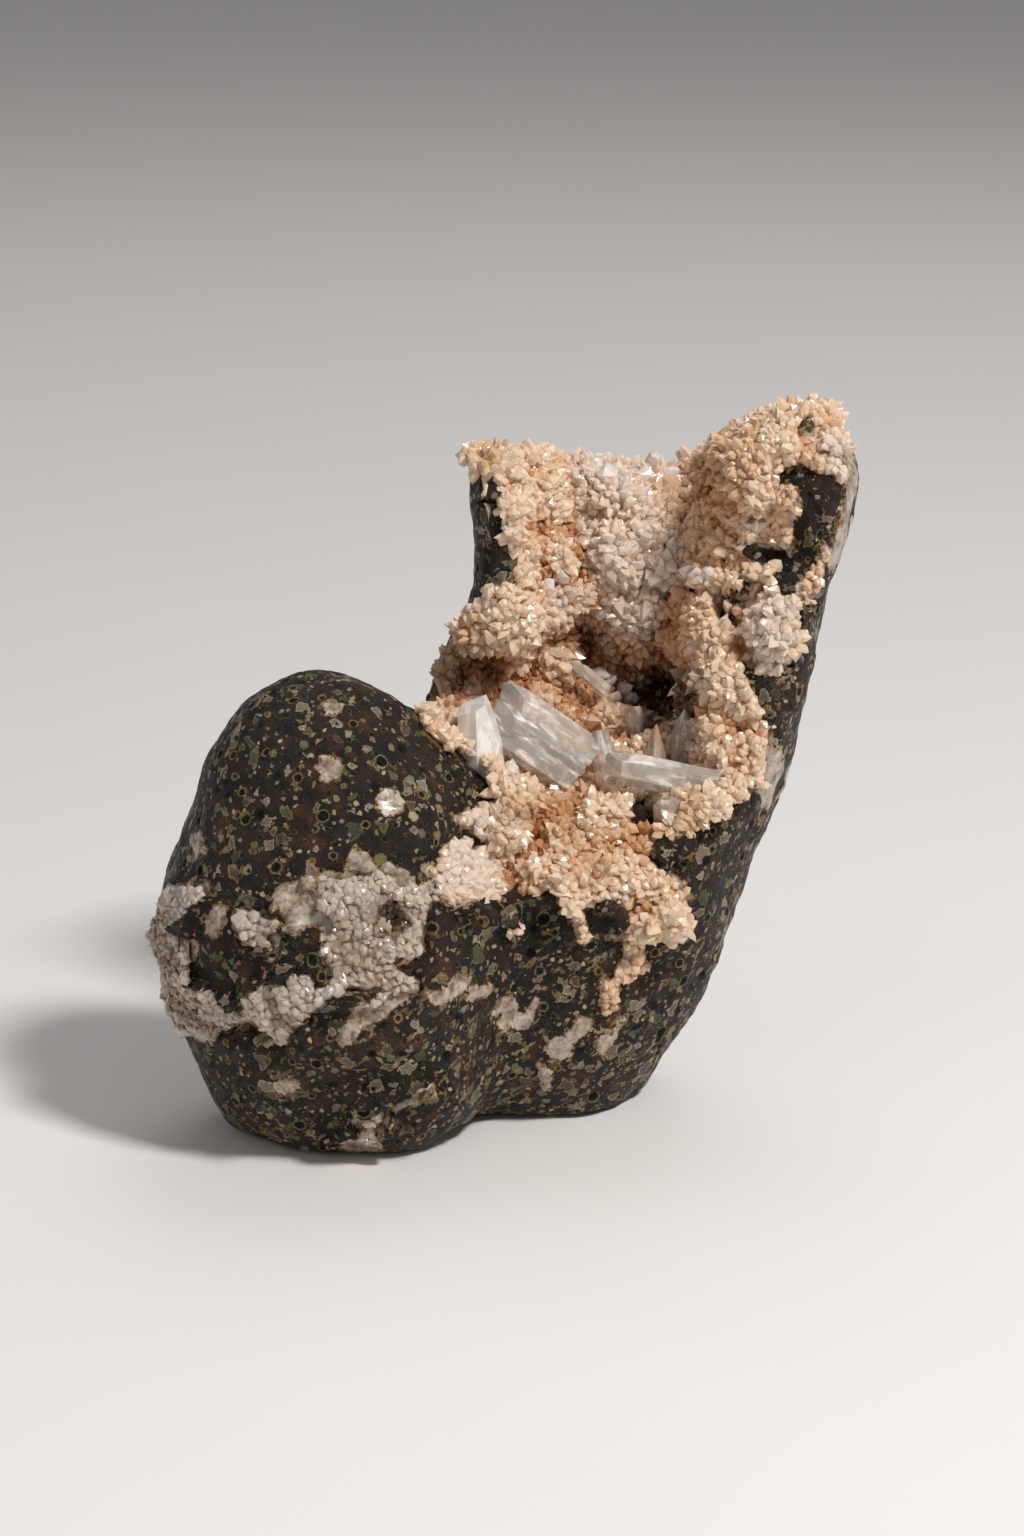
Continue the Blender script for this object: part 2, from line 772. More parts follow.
@dataclass(frozen=True)
class BasaltFinish:
    """Brown-black basalt with rust clouds, gas holes, zeolite flecks and pale grown-in patches."""

    dark: Colour = (0.0085, 0.0060, 0.0042)
    brown: Colour = (0.036, 0.0175, 0.0095)
    rust: Colour = (0.115, 0.036, 0.013)
    blue: Colour = (0.017, 0.018, 0.018)
    black: Colour = (0.0025, 0.0018, 0.0013)
    olive: Colour = (0.22, 0.195, 0.075)
    cream: Colour = (0.60, 0.49, 0.29)
    ochre: Colour = (0.36, 0.19, 0.05)
    grey: Colour = (0.27, 0.235, 0.185)
    glass: Colour = (0.105, 0.095, 0.050)
    white: Colour = (0.50, 0.42, 0.35)
    flesh: Colour = (0.31, 0.225, 0.165)
    tan: Colour = (0.15, 0.085, 0.05)
    frost: Colour = (0.70, 0.63, 0.57)

    def spots(
        self, board: Board, place: object, size: float, radii: tuple[float, float], share: Value,
        torn: Value, shift: float = 0.0,
    ) -> tuple[Wire, Wire, Wire]:
        """Ragged spots, one in each of a share of random cells.

        Args:
            board: the material's nodes.
            place: coordinates.
            size: the cells' size in mm.
            radii: least and greatest radius in mm.
            share: the share of cells that hold a spot.
            torn: noise in mm that makes the outlines ragged.
            shift: moves the pattern, so that layers differ.

        Returns:
            The spot from 0 to 1, how deep inside its outline in mm, and its own number.
        """
        away, draw, chosen = board.cells(size, place, shift)
        depth = draw * (radii[1] - radii[0]) + radii[0] - away + torn
        present = chosen < share
        return depth.step(-0.03, 0.04) * present, depth - (1.0 - present) * 9.0, chosen / share

    def chips(
        self, board: Board, place: object, size: float, share: Value, torn: Value, shift: float,
    ) -> tuple[Wire, Wire, Wire]:
        """Angular glassy chips, one in each of a share of random cells.

        Args:
            board: the material's nodes.
            place: coordinates.
            size: the cells' size in mm.
            share: the share of cells that hold a chip.
            torn: noise in mm that makes the outlines ragged.
            shift: moves the pattern.

        Returns:
            The chip from 0 to 1, how deep inside its outline in mm, and its own number.
        """
        inside, draw, chosen = board.shards(size, place, shift)
        depth = inside + torn - 0.06 - draw * 0.22
        return depth.step(-0.03, 0.04) * (chosen < share), depth, chosen / share

    def ground(self, board: Board, fine: Wire) -> object:
        """The bare rock: dark and brown, with rust and blue-grey clouds."""
        colour = board.mixed(board.noise(2.6, 4.0).step(0.40, 0.62), self.dark, self.brown)
        rusty = board.noise(4.0, 4.0, 0.65, 0.21).step(0.55, 0.68)
        colour = board.mixed(rusty * 0.8, colour, self.rust)
        colour = board.mixed(board.noise(2.0, 3.0, 0.5, 0.47).step(0.58, 0.66) * 0.8, colour, self.blue)
        return board.mixed(fine.step(0.35, 0.7) * 0.6, colour, self.dark)

    def zeolite(self, board: Board, fine: Wire) -> bpy.types.Node:
        """The shader of the pale patches: glassy, whitish-grey to flesh."""
        share = board.noise(1.5, 4.0, 0.6, 0.11) * 0.75 + board.noise(0.5, 2.0, 0.6, 0.61) * 0.35 - 0.05
        colour = board.ramp(share, (
            (0.36, self.tan), (0.46, self.flesh), (0.58, self.white), (0.74, self.frost)))
        away, draw, _ = board.cells(0.75, board.bent(0.9, 0.15), 0.9)
        return board.surface(
            Base_Color=colour, Roughness=0.22 + fine * 0.2,
            Normal=board.bumped(away * draw * 1.2 + fine * 0.3, 0.14),
            Subsurface_Weight=0.25, Subsurface_Radius=(1.0, 0.65, 0.45), Subsurface_Scale=0.0009,
            Coat_Weight=0.2, Coat_Roughness=0.08,
        )

    def material(self) -> bpy.types.Material:
        """Builds the finish.

        Returns:
            The material. It reads the point attributes pit, tone, patch, fleck, low and rim.
        """
        board = Board("basalt_skin")
        bent = board.bent(1.4, 0.30)
        slant = board.slanted(2.4, 38.0)
        pit, tone, patch = board.trait("pit"), board.trait("tone"), board.trait("patch")
        fleck, low, rim_near = board.trait("fleck"), board.trait("low"), board.trait("rim")
        fine = board.noise(0.30, 4.0, 0.65)
        ragged = board.noise(1.0, 4.0, 0.6, 0.31) - 0.5
        jagged = (board.noise(0.42, 3.0, 0.7, 0.83) - 0.5) * 0.9
        colour = self.ground(board, fine)

        small, _, hue = self.spots(board, bent, 1.0, (0.08, 0.36), fleck * 0.30 + 0.45, jagged * 0.85)
        colour = board.mixed(small * 0.9, colour, board.ramp(hue, (
            (0.0, self.olive), (0.3, self.cream), (0.55, self.ochre), (0.8, self.grey), (1.0, self.white))))
        oval, depth, kind = self.spots(
            board, bent, 1.85, (0.18, 0.80), 0.72 - low * 0.40, jagged * 0.95, 0.13)
        colour = board.mixed(oval * 0.85, colour, board.ramp(kind, (
            (0.0, self.glass), (0.2, (0.030, 0.022, 0.013)), (0.4, self.grey), (0.58, self.olive),
            (0.78, self.glass), (1.0, self.cream))))
        ring = (0.05 - (depth - 0.06).size()).step(-0.03, 0.03) * (kind > 0.3)
        colour = board.mixed(ring * 0.55, colour, board.mixed(kind, self.olive, self.cream))
        wild = board.bent(0.9, 0.42)
        for size, chance, shift in ((1.9, 0.15, 0.53), (1.1, 0.20, 0.29)):
            chip, depth, kind = self.chips(board, wild, size, chance, jagged * 0.5, shift)
            skin = board.ramp(kind, (
                (0.0, self.olive), (0.25, self.glass), (0.5, self.cream), (0.72, self.ochre),
                (1.0, self.white)))
            body = board.ramp(kind, (
                (0.0, self.glass), (0.3, (0.05, 0.045, 0.03)), (0.5, self.grey),
                (0.7, (0.06, 0.05, 0.035)), (1.0, self.flesh)))
            colour = board.mixed(chip * 0.82, colour, board.mixed(depth.step(0.06, 0.22), skin, body))
            oval = oval.greatest(chip)
        streak = board.noise(1.15, 4.0, 0.6, 0.77, slant).step(0.60, 0.635) * low
        streak = streak.greatest(board.noise(0.62, 3.0, 0.6, 0.57, slant).step(0.64, 0.67) * low)
        tint = board.noise(2.0, 2.0, 0.5, 0.92, slant)
        colour = board.mixed(streak * 0.92, colour, board.ramp(tint, (
            (0.36, self.grey), (0.46, self.cream), (0.54, self.ochre), (0.6, self.olive),
            (0.68, self.white))))
        hole, depth, _ = self.spots(board, bent, 1.35, (0.08, 0.42), 0.62, jagged * 0.6, 0.37)
        lip = (0.05 - (depth + 0.05).size()).step(-0.03, 0.03)
        colour = board.mixed(lip * 0.35, colour, self.olive)
        colour = board.mixed(hole, colour, self.black)

        in_pit = (pit + jagged * 0.3).step(-0.02, 0.10)
        pit_lip = (0.09 - (pit + jagged * 0.3 + 0.05).size()).step(-0.04, 0.04) * (tone > 0.5)
        colour = board.mixed(pit_lip * 0.7, colour, board.mixed(tone.step(0.6, 0.9), self.olive, self.ochre))
        colour = board.mixed(in_pit, colour, self.black)
        torn = patch + ragged * 2.1 + jagged * 0.9
        edge = (0.10 - (torn + 0.07).size()).step(-0.06, 0.05)
        colour = board.mixed(edge * 0.65, colour, self.ochre)
        colour = board.mixed((rim_near + ragged * 0.8).step(0.1, 0.4) * 0.45, colour, self.ochre)

        shiny = small.greatest(oval).greatest(streak)
        height = (
            fine * 0.5 + board.noise(0.9, 4.0, 0.65, 0.71) * 1.1 + shiny * 0.22 + ring * 0.25
            + lip * 0.2 - hole * 1.4
        )
        rock = board.surface(
            Base_Color=colour, Roughness=0.52 - shiny * 0.2 + (fine - 0.5) * 0.3,
            Normal=board.bumped(height, 0.62), Specular_IOR_Level=0.30,
        )
        blend = board.node("ShaderNodeMixShader")
        board.join(blend.inputs[0], torn.step(-0.04, 0.05))
        board.join(blend.inputs[1], rock.outputs[0])
        board.join(blend.inputs[2], self.zeolite(board, fine).outputs[0])
        return board.finish(blend)


@dataclass(frozen=True)
class DruseFinish:
    """Wet-looking translucent grains: peach where they stand out, browner in the hollows."""

    name: str
    deep: Colour = (0.36, 0.135, 0.050)
    middle: Colour = (0.68, 0.34, 0.165)
    pale: Colour = (0.86, 0.54, 0.335)
    tip: Colour = (0.92, 0.68, 0.49)
    clear: Colour = (0.88, 0.73, 0.62)
    shadow: Colour = (0.060, 0.022, 0.008)
    rust: Colour = (0.60, 0.29, 0.105)
    middle_share: float = 0.50
    glow: float = 0.28
    through: float = 0.10
    reach: tuple[float, float, float] = (1.0, 0.84, 0.72)
    depth: float = 0.0013

    def material(self) -> bpy.types.Material:
        """Builds the finish.

        Returns:
            The material. It reads the point attributes tip, shade, raised, white, stain and cave.
        """
        board = Board(self.name)
        tip, shade, raised = board.trait("tip"), board.trait("shade"), board.trait("raised")
        white, stained, cave = board.trait("white"), board.trait("stain"), board.trait("cave")
        mottle = board.noise(2.6, 4.0, 0.6)
        fine = board.noise(0.5, 3.0, 0.6, 0.3)
        broad = board.noise(9.0, 3.0, 0.5, 0.6)
        share = (
            self.middle_share + tip * 0.22 + (shade - 0.5) * 0.06 + raised * 0.40
            + (mottle - 0.5) * 0.32 + (broad - 0.5) * 0.7 + (fine - 0.5) * 0.08
        )
        colour = board.ramp(share, (
            (0.10, self.deep), (0.36, self.middle), (0.62, self.pale), (0.95, self.tip)))
        bleached = (white + (mottle - 0.5) * 0.5).step(0.2, 0.8) * 0.85
        colour = board.mixed(bleached, colour, board.mixed(shade * 0.5, self.clear, self.tip))
        rusty = (stained + (mottle - 0.5) * 0.6).step(0.3, 0.8)
        colour = board.mixed(rusty * 0.5, colour, self.rust)
        colour = board.mixed((cave + (mottle - 0.5) * 0.3).step(0.1, 0.95) * 0.93, colour, self.shadow)
        away, draw, _ = board.cells(0.5, board.bent(0.7, 0.12))
        normal = board.bumped(fine * 0.4 + away * draw * 1.2, 0.08)
        return board.finish(board.surface(
            Base_Color=colour, Roughness=0.24 + (fine - 0.5) * 0.25, Normal=normal,
            Subsurface_Weight=self.glow, Subsurface_Radius=self.reach,
            Subsurface_Scale=self.depth, IOR=1.5, Transmission_Weight=self.through,
            Coat_Weight=0.4, Coat_Roughness=0.05,
        ))


@dataclass(frozen=True)
class CalciteFinish:
    """Clear calcite with white veils along its length."""

    name: str
    tint: Colour = (1.0, 0.975, 0.95)
    white: Colour = (1.0, 0.95, 0.89)
    cloud: float = 0.26

    def material(self) -> bpy.types.Material:
        """Builds the finish.

        Returns:
            The material. It reads the point attributes along, across, milk and stain.
        """
        board = Board(self.name)
        along, across = board.trait("along"), board.trait("across")
        milky, stained = board.trait("milk"), board.trait("stain")
        place = board.node("ShaderNodeCombineXYZ")
        board.join(place.inputs[0], along * 0.00012)
        board.join(place.inputs[1], across * 0.0006)
        streak = board.noise(0.60, 4.0, 0.62, place=place.outputs[0])
        veil = board.noise(1.8, 3.0, 0.6, 0.2)
        milk = streak.step(0.52, 0.66) * 0.5 + veil.step(0.48, 0.68) * 0.22 + self.cloud + milky
        normal = board.bumped(streak * 0.8 + board.noise(0.4, 2.0) * 0.15, 0.02)
        clear = board.surface(
            Base_Color=self.tint, Roughness=0.03, Normal=normal, IOR=1.55,
            Transmission_Weight=1.0,
        )
        white = board.mixed(stained, self.white, (0.62, 0.25, 0.07))
        cloudy = board.surface(
            Base_Color=white, Roughness=0.16, Normal=normal, Coat_Weight=0.5,
            Subsurface_Weight=0.12, Subsurface_Radius=(1.0, 1.0, 1.0), Subsurface_Scale=0.0008,
        )
        blend = board.node("ShaderNodeMixShader")
        board.join(blend.inputs[0], milk.greatest(stained).least(1.0))
        board.join(blend.inputs[1], clear.outputs[0])
        board.join(blend.inputs[2], cloudy.outputs[0])
        return board.finish(blend)


@dataclass(frozen=True)
class FloorFinish:
    """A matt pale floor."""

    colour: Colour = (0.88, 0.855, 0.84)

    def material(self) -> bpy.types.Material:
        """Builds the finish."""
        board = Board("floor")
        soft = board.noise(60.0, 2.0)
        colour = board.mixed(soft, self.colour, tuple(0.97 * part for part in self.colour))
        return board.finish(board.surface(Base_Color=colour, Roughness=0.6))


def dressed(made: bpy.types.Object, material: bpy.types.Material, slot: Slot, *nodes: str) -> None:
    """Gives a piece its material, its slot and its body, and says which nodes it stands for."""
    made.data.materials.clear()
    made.data.materials.append(material)
    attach(made, "root")
    if nodes:
        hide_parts(*nodes)
    count = sum(len(face.vertices) - 2 for face in made.data.polygons)
    LOG.info("%s: %d triangles", made.name, count)


# Outlines read from the picture


SKIN_IN_CRUST: tuple[Pixels, ...] = (
    ((778, 474), (800, 466), (822, 474), (840, 486), (842, 502), (826, 520), (822, 540), (812, 560),
     (800, 592), (788, 594), (775, 570), (755, 549), (762, 543), (792, 556), (795, 530), (806, 505),
     (800, 490), (782, 482)),
    ((712, 586), (722, 588), (736, 598), (750, 585), (768, 585), (748, 602), (744, 622), (726, 622),
     (720, 602)),
    ((736, 640), (742, 637), (754, 663), (769, 683), (790, 672), (802, 640), (806, 600), (816, 602),
     (812, 650), (800, 719), (796, 740), (775, 745), (769, 716), (757, 690), (748, 665)),
    ((634, 806), (640, 806), (644, 820), (655, 822), (652, 832), (640, 832), (632, 820)),
    ((455, 500), (476, 498), (479, 480), (490, 483), (492, 505), (497, 520), (496, 543), (511, 561),
     (509, 575), (490, 583), (479, 581), (467, 592), (450, 604), (452, 560)),
    ((797, 432), (806, 424), (816, 432), (814, 448), (804, 450)),
    ((415, 925), (435, 905), (452, 914), (466, 907), (483, 898), (492, 904), (508, 899), (514, 893),
     (518, 907), (535, 898), (552, 895), (556, 900), (562, 913), (574, 935), (584, 951), (592, 934),
     (586, 922), (600, 903), (612, 905), (618, 918), (610, 939), (622, 949), (608, 976), (590, 985),
     (500, 985), (415, 960)),
    ((652, 856), (660, 847), (678, 838), (702, 844), (713, 838), (731, 821), (751, 791), (762, 800),
     (750, 850), (730, 900), (700, 960), (650, 985), (648, 943), (669, 939), (684, 926), (688, 909),
     (687, 878), (669, 870)),
)
GROWN: tuple[Pixels, ...] = (
    ((489, 800), (474, 808), (452, 818), (460, 829), (470, 828), (484, 850), (474, 851), (466, 838),
     (455, 840), (443, 846), (435, 862), (424, 872), (438, 897), (435, 903), (452, 912), (466, 905),
     (483, 896), (492, 902), (508, 897), (520, 880), (510, 840), (498, 812)),
    ((745, 470), (760, 455), (800, 432), (834, 446), (842, 470), (838, 496), (830, 520), (824, 538),
     (826, 548), (822, 572), (815, 598), (800, 600), (770, 600), (735, 600), (720, 560)),
    ((742, 625), (752, 600), (775, 590), (798, 598), (800, 643), (786, 672), (772, 683), (754, 663)),
    ((606, 880), (613, 905), (619, 918), (611, 939), (622, 941), (624, 949), (621, 962), (611, 975),
     (596, 979), (602, 1004), (600, 1014), (606, 1018), (615, 1008), (619, 983), (636, 979),
     (649, 970), (648, 943), (669, 939), (684, 926), (688, 909), (686, 880), (669, 870), (640, 860)),
    ((560, 890), (565, 905), (573, 905), (583, 912), (586, 922), (592, 934), (588, 943), (584, 951),
     (574, 935), (575, 926), (571, 916), (562, 911), (556, 898)),
)
POCKET_EDGE: Pixels = (
    (168, 886), (211, 882), (209, 906), (199, 906), (194, 917), (174, 927), (181, 937), (198, 941),
    (197, 960), (192, 971), (193, 986), (218, 988), (231, 1008), (240, 1010), (251, 989), (268, 980),
    (287, 984), (291, 971), (309, 973), (316, 986), (328, 986), (331, 978), (319, 952), (324, 934),
    (316, 925), (307, 925), (294, 936), (287, 932), (285, 917), (270, 895), (279, 888), (309, 873),
    (355, 872), (376, 869), (390, 862), (411, 877), (416, 886), (440, 872), (460, 880), (440, 900),
    (427, 904), (424, 939), (426, 949), (418, 958), (400, 958), (396, 965), (416, 978), (418, 989),
    (398, 1006), (381, 1021), (359, 1025), (357, 1038), (340, 1045), (337, 1039), (353, 1008),
    (372, 1001), (381, 989), (368, 993), (348, 988), (328, 1001), (303, 1023), (287, 1045),
    (268, 1045), (266, 1032), (250, 1021), (222, 1032), (220, 1043), (198, 1041), (178, 1023),
    (163, 1010), (145, 960), (150, 910),
)
SPOT_EDGE: Pixels = (
    (233, 914), (241, 907), (254, 910), (265, 912), (281, 919), (279, 934), (278, 947), (268, 949),
    (246, 947), (239, 934),
)
VEIN_EDGE: Pixels = (
    (435, 1071), (420, 1078), (403, 1088), (389, 1099), (368, 1110), (350, 1113), (352, 1119),
    (361, 1125), (363, 1132), (331, 1136), (339, 1143), (350, 1152), (385, 1152), (381, 1136),
    (374, 1128), (385, 1119), (389, 1106), (403, 1108), (415, 1097), (427, 1088), (435, 1078),
)
PATCHES: tuple[Pixels, ...] = (
    ((763, 735), (785, 728), (784, 770), (773, 806), (758, 812), (745, 800), (755, 775), (752, 755)),
    ((836, 440), (856, 446), (862, 478), (856, 520), (842, 560), (830, 575), (824, 560), (836, 528),
     (843, 496), (846, 470)),
    POCKET_EDGE, SPOT_EDGE, VEIN_EDGE,
    ((493, 1014), (500, 999), (516, 997), (519, 1012), (527, 1012), (535, 995), (540, 1002),
     (535, 1012), (525, 1031), (512, 1027), (504, 1033), (499, 1025), (506, 1012)),
    ((545, 1046), (554, 1039), (569, 1035), (573, 1023), (584, 1016), (594, 1023), (588, 1031),
     (573, 1046), (571, 1056), (558, 1064), (548, 1054)),
    ((596, 1046), (602, 1037), (615, 1033), (615, 1018), (625, 1018), (615, 1039), (604, 1058)),
    ((537, 1062), (548, 1064), (552, 1073), (550, 1088), (544, 1090), (539, 1077)),
    ((422, 999), (430, 991), (441, 993), (452, 976), (470, 964), (481, 951), (491, 953), (487, 962),
     (477, 972), (464, 987), (452, 999), (437, 1004)),
    ((464, 995), (470, 987), (483, 983), (498, 989), (487, 995), (470, 1000)),
    ((320, 703), (330, 701), (343, 707), (341, 715), (328, 716)),
    ((376, 800), (380, 791), (392, 790), (404, 800), (402, 814), (388, 816), (379, 811)),
    ((318, 764), (322, 757), (334, 755), (343, 763), (341, 775), (329, 780), (320, 776)),
    ((345, 862), (352, 851), (364, 852), (378, 864), (366, 871), (350, 870)),
    ((190, 838), (202, 832), (206, 852), (197, 860)),
    ((209, 915), (224, 904), (230, 904), (217, 939), (207, 936)),
    ((275, 1082), (288, 1076), (300, 1085), (292, 1094), (278, 1091)),
)
FLECKED: Pixels = (
    (480, 975), (560, 930), (620, 950), (690, 870), (770, 740), (800, 640), (830, 620), (780, 860),
    (690, 1090), (560, 1135), (480, 1130), (400, 1150), (250, 1140), (190, 1080), (280, 1060),
    (390, 1020),
)
PALE_NOTCH: tuple[Pixels, ...] = (
    ((330, 874), (362, 868), (380, 884), (366, 906), (338, 902)), ((300, 992), (338, 984), (345, 1004),
     (312, 1022)), ((168, 888), (205, 886), (196, 914), (172, 924)),
    ((236, 912), (262, 912), (258, 942), (240, 940)), ((208, 990), (226, 992), (224, 1022), (204, 1018)),
    ((572, 450), (690, 450), (692, 500), (700, 560), (668, 600), (645, 640), (615, 630), (590, 560),
     (572, 520)),
    ((745, 600), (790, 590), (800, 610), (790, 660), (775, 685), (755, 660), (742, 630)),
    ((815, 440), (850, 440), (858, 480), (845, 520), (830, 500), (832, 470)),
    ((489, 800), (470, 812), (440, 850), (440, 895), (470, 900), (500, 890), (498, 840)),
    ((540, 600), (560, 585), (575, 600), (555, 625), (530, 625)),
)
CAVES: tuple[tuple[float, Pixels], ...] = (
    (0.85, ((372, 908), (386, 898), (404, 908), (408, 926), (396, 940), (378, 936))),
    (0.35, ((345, 900), (380, 890), (415, 900), (420, 935), (390, 960), (355, 940))),
    (1.0, ((604, 672), (640, 676), (690, 668), (703, 680), (700, 716), (684, 738), (655, 728),
           (628, 700))),
    (0.5, ((560, 640), (590, 605), (620, 640), (640, 660), (700, 655), (712, 690), (700, 730),
            (640, 740), (610, 690), (575, 670))),
    (0.6, ((655, 580), (668, 578), (675, 592), (664, 606), (652, 600))),
    (0.7, ((570, 615), (585, 608), (598, 625), (596, 652), (580, 658), (572, 640))),
    (0.5, ((440, 640), (495, 640), (512, 668), (505, 692), (470, 700), (440, 720), (436, 670))),
    (0.8, ((687, 727), (700, 727), (697, 757), (688, 757))),
    (0.4, ((500, 812), (520, 806), (542, 815), (535, 835), (508, 837))),
    (0.7, ((584, 862), (600, 862), (604, 880), (592, 884))),
    (0.8, ((630, 898), (642, 898), (640, 916), (630, 912))),
    (0.35, ((566, 775), (582, 775), (588, 830), (572, 832))),
)
AMBER: tuple[Pixels, ...] = (
    ((500, 800), (540, 790), (575, 800), (600, 830), (640, 800), (700, 790), (705, 830), (650, 850),
     (600, 850), (540, 835)),
    ((640, 470), (690, 470), (712, 560), (700, 640), (660, 640), (690, 560)),
    ((474, 447), (500, 438), (512, 448), (505, 462), (490, 470), (476, 470)),
    ((690, 450), (730, 432), (765, 425), (760, 470), (740, 520), (700, 560), (690, 510)),
    ((620, 640), (690, 640), (700, 670), (640, 675), (615, 660)),
    ((440, 620), (470, 610), (500, 640), (470, 650), (440, 660)),
    ((640, 800), (675, 812), (660, 830), (645, 824)),
)


# The stone


@dataclass
class Stone:
    """The basalt: the node's shape with its facets eased, its gas bubbles and its patches."""

    spacing: float = 0.54
    eased: float = 0.65
    rises: tuple[tuple[float, float, int], ...] = ((6.0, 0.32, 11), (2.4, 0.20, 12), (1.25, 0.15, 13))
    pit_grid: float = 2.0
    pit_radii: tuple[float, float] = (0.28, 0.85)
    pit_chance: float = 0.8
    grown_rise: float = 0.55
    most_cover: float = 6.0
    fillet: float = 0.5

    def build(self) -> tuple[bpy.types.Object, Surface]:
        """Builds the stone.

        The remeshed node is smoothed within a small cap. Each point then moves along its
        normal by waves of noise and in by the bubbles' depth. Where the picture shows bare
        rock inside a crust's outline, it moves out by the height of the crust over it.
        Where the crust spreads beyond its node, the stone swells a little to carry it, and
        it rises close to every crust's edge so that no gap shows under the edge.
        The foot doesn't move.

        Returns:
            The piece, and its surface with the traits that the grains on it need.
        """
        base = fused(node_surface("basalt_matrix"), self.spacing)
        base = base.smoothed(50, cap=self.eased).smoothed(2)
        points, normals = base.points, base.normals()
        pixels = EYE.seen(points)
        front = step_up(EYE.facing(points, normals), 0.0, 0.35)
        rise = sum(height * waves(points, size, seed) for size, height, seed in self.rises)
        pit, tone = bubbles(points, self.pit_grid, self.pit_radii, self.pit_chance, 31)
        torn = 0.35 * waves(points, 1.6, 51) + 0.2 * waves(points, 0.8, 52)
        bare = depth_in_any(SKIN_IN_CRUST, pixels) + torn + 0.25
        grown = np.minimum(depth_in_any(GROWN, pixels) + torn, -bare)
        patch = np.maximum(np.minimum(depth_in_any(PATCHES, pixels) + torn * 0.5, -bare), grown)
        patch = np.where(front > 0.5, patch, -4.0)
        behind = clouds(points, 9.0, 61, 4) * 8.0 - 3.6
        patch = np.maximum(patch, np.where(front > 0.5, -4.0, behind))
        over_crust = np.clip(cover(base, frame["nodes"]["heulandite_crust"]), 0.0, self.most_cover)
        rise += over_crust * step_up(bare, -0.6, 0.15) * front
        for node, edge in POCKETS.items():
            over = np.clip(cover(base, frame["nodes"][node]), 0.0, self.most_cover)
            rise += over * step_up(-depth_in(edge, pixels) + torn * 0.5, -0.2, 0.35)
        near = gaps(base, frame["nodes"]["heulandite_crust"])
        for node, edge in POCKETS.items():
            inside = step_up(depth_in(edge, pixels), -0.3, 0.2) * front
            near = np.minimum(near, gaps(base, frame["nodes"][node]) + 9.0 * inside)
        rise += self.fillet * step_up(-near, -1.5, -0.2)
        rise += sum(dip.rise(pixels) for dip in DIPS) * front
        rise += self.grown_rise * step_up(grown, -0.2, 0.9) * step_up(front, 0.3, 1.0)
        solid = step_up(-patch, 0.0, 0.5)
        rise -= np.maximum(pit, 0.0) * 0.9 * solid
        rise += np.clip(patch + 0.2, 0.0, 0.5) * 0.3
        footed = step_up(points[:, 2], 0.05, 1.5)
        moved = points + normals * (rise * footed)[:, None]
        moved[:, 2] = np.maximum(moved[:, 2], 0.0)
        fleck = step_up(depth_in(FLECKED, pixels), -5.0, 4.0) * front
        fleck = np.maximum(fleck, step_up(clouds(points, 16.0, 71), -0.05, 0.25) * (1 - front))
        low = fleck * (0.55 + 0.45 * clouds(points, 7.0, 72))
        rim = 0.8 - gaps(Surface(moved, base.faces), frame["nodes"]["heulandite_crust"])
        rim = np.where((bare > -0.8) & (front > 0.2), -1.0, rim)
        base.points = moved
        base.traits = {
            "pit": pit * solid - (1 - solid), "tone": tone, "patch": np.clip(patch, -3.0, 3.0),
            "fleck": fleck, "low": low, "rim": rim,
        }
        keep = grown * step_up(front, 0.3, 0.6) - 0.15
        bed = Surface(moved, base.faces, {"keep": keep, "raised": np.full(len(moved), 0.1)})
        return base.object("basalt_stone"), bed

    def dress(self, made: bpy.types.Object) -> None:
        """Gives the stone its skin."""
        dressed(made, BasaltFinish().material(), Slot.BASALT, "basalt_matrix")


# The crystal crusts


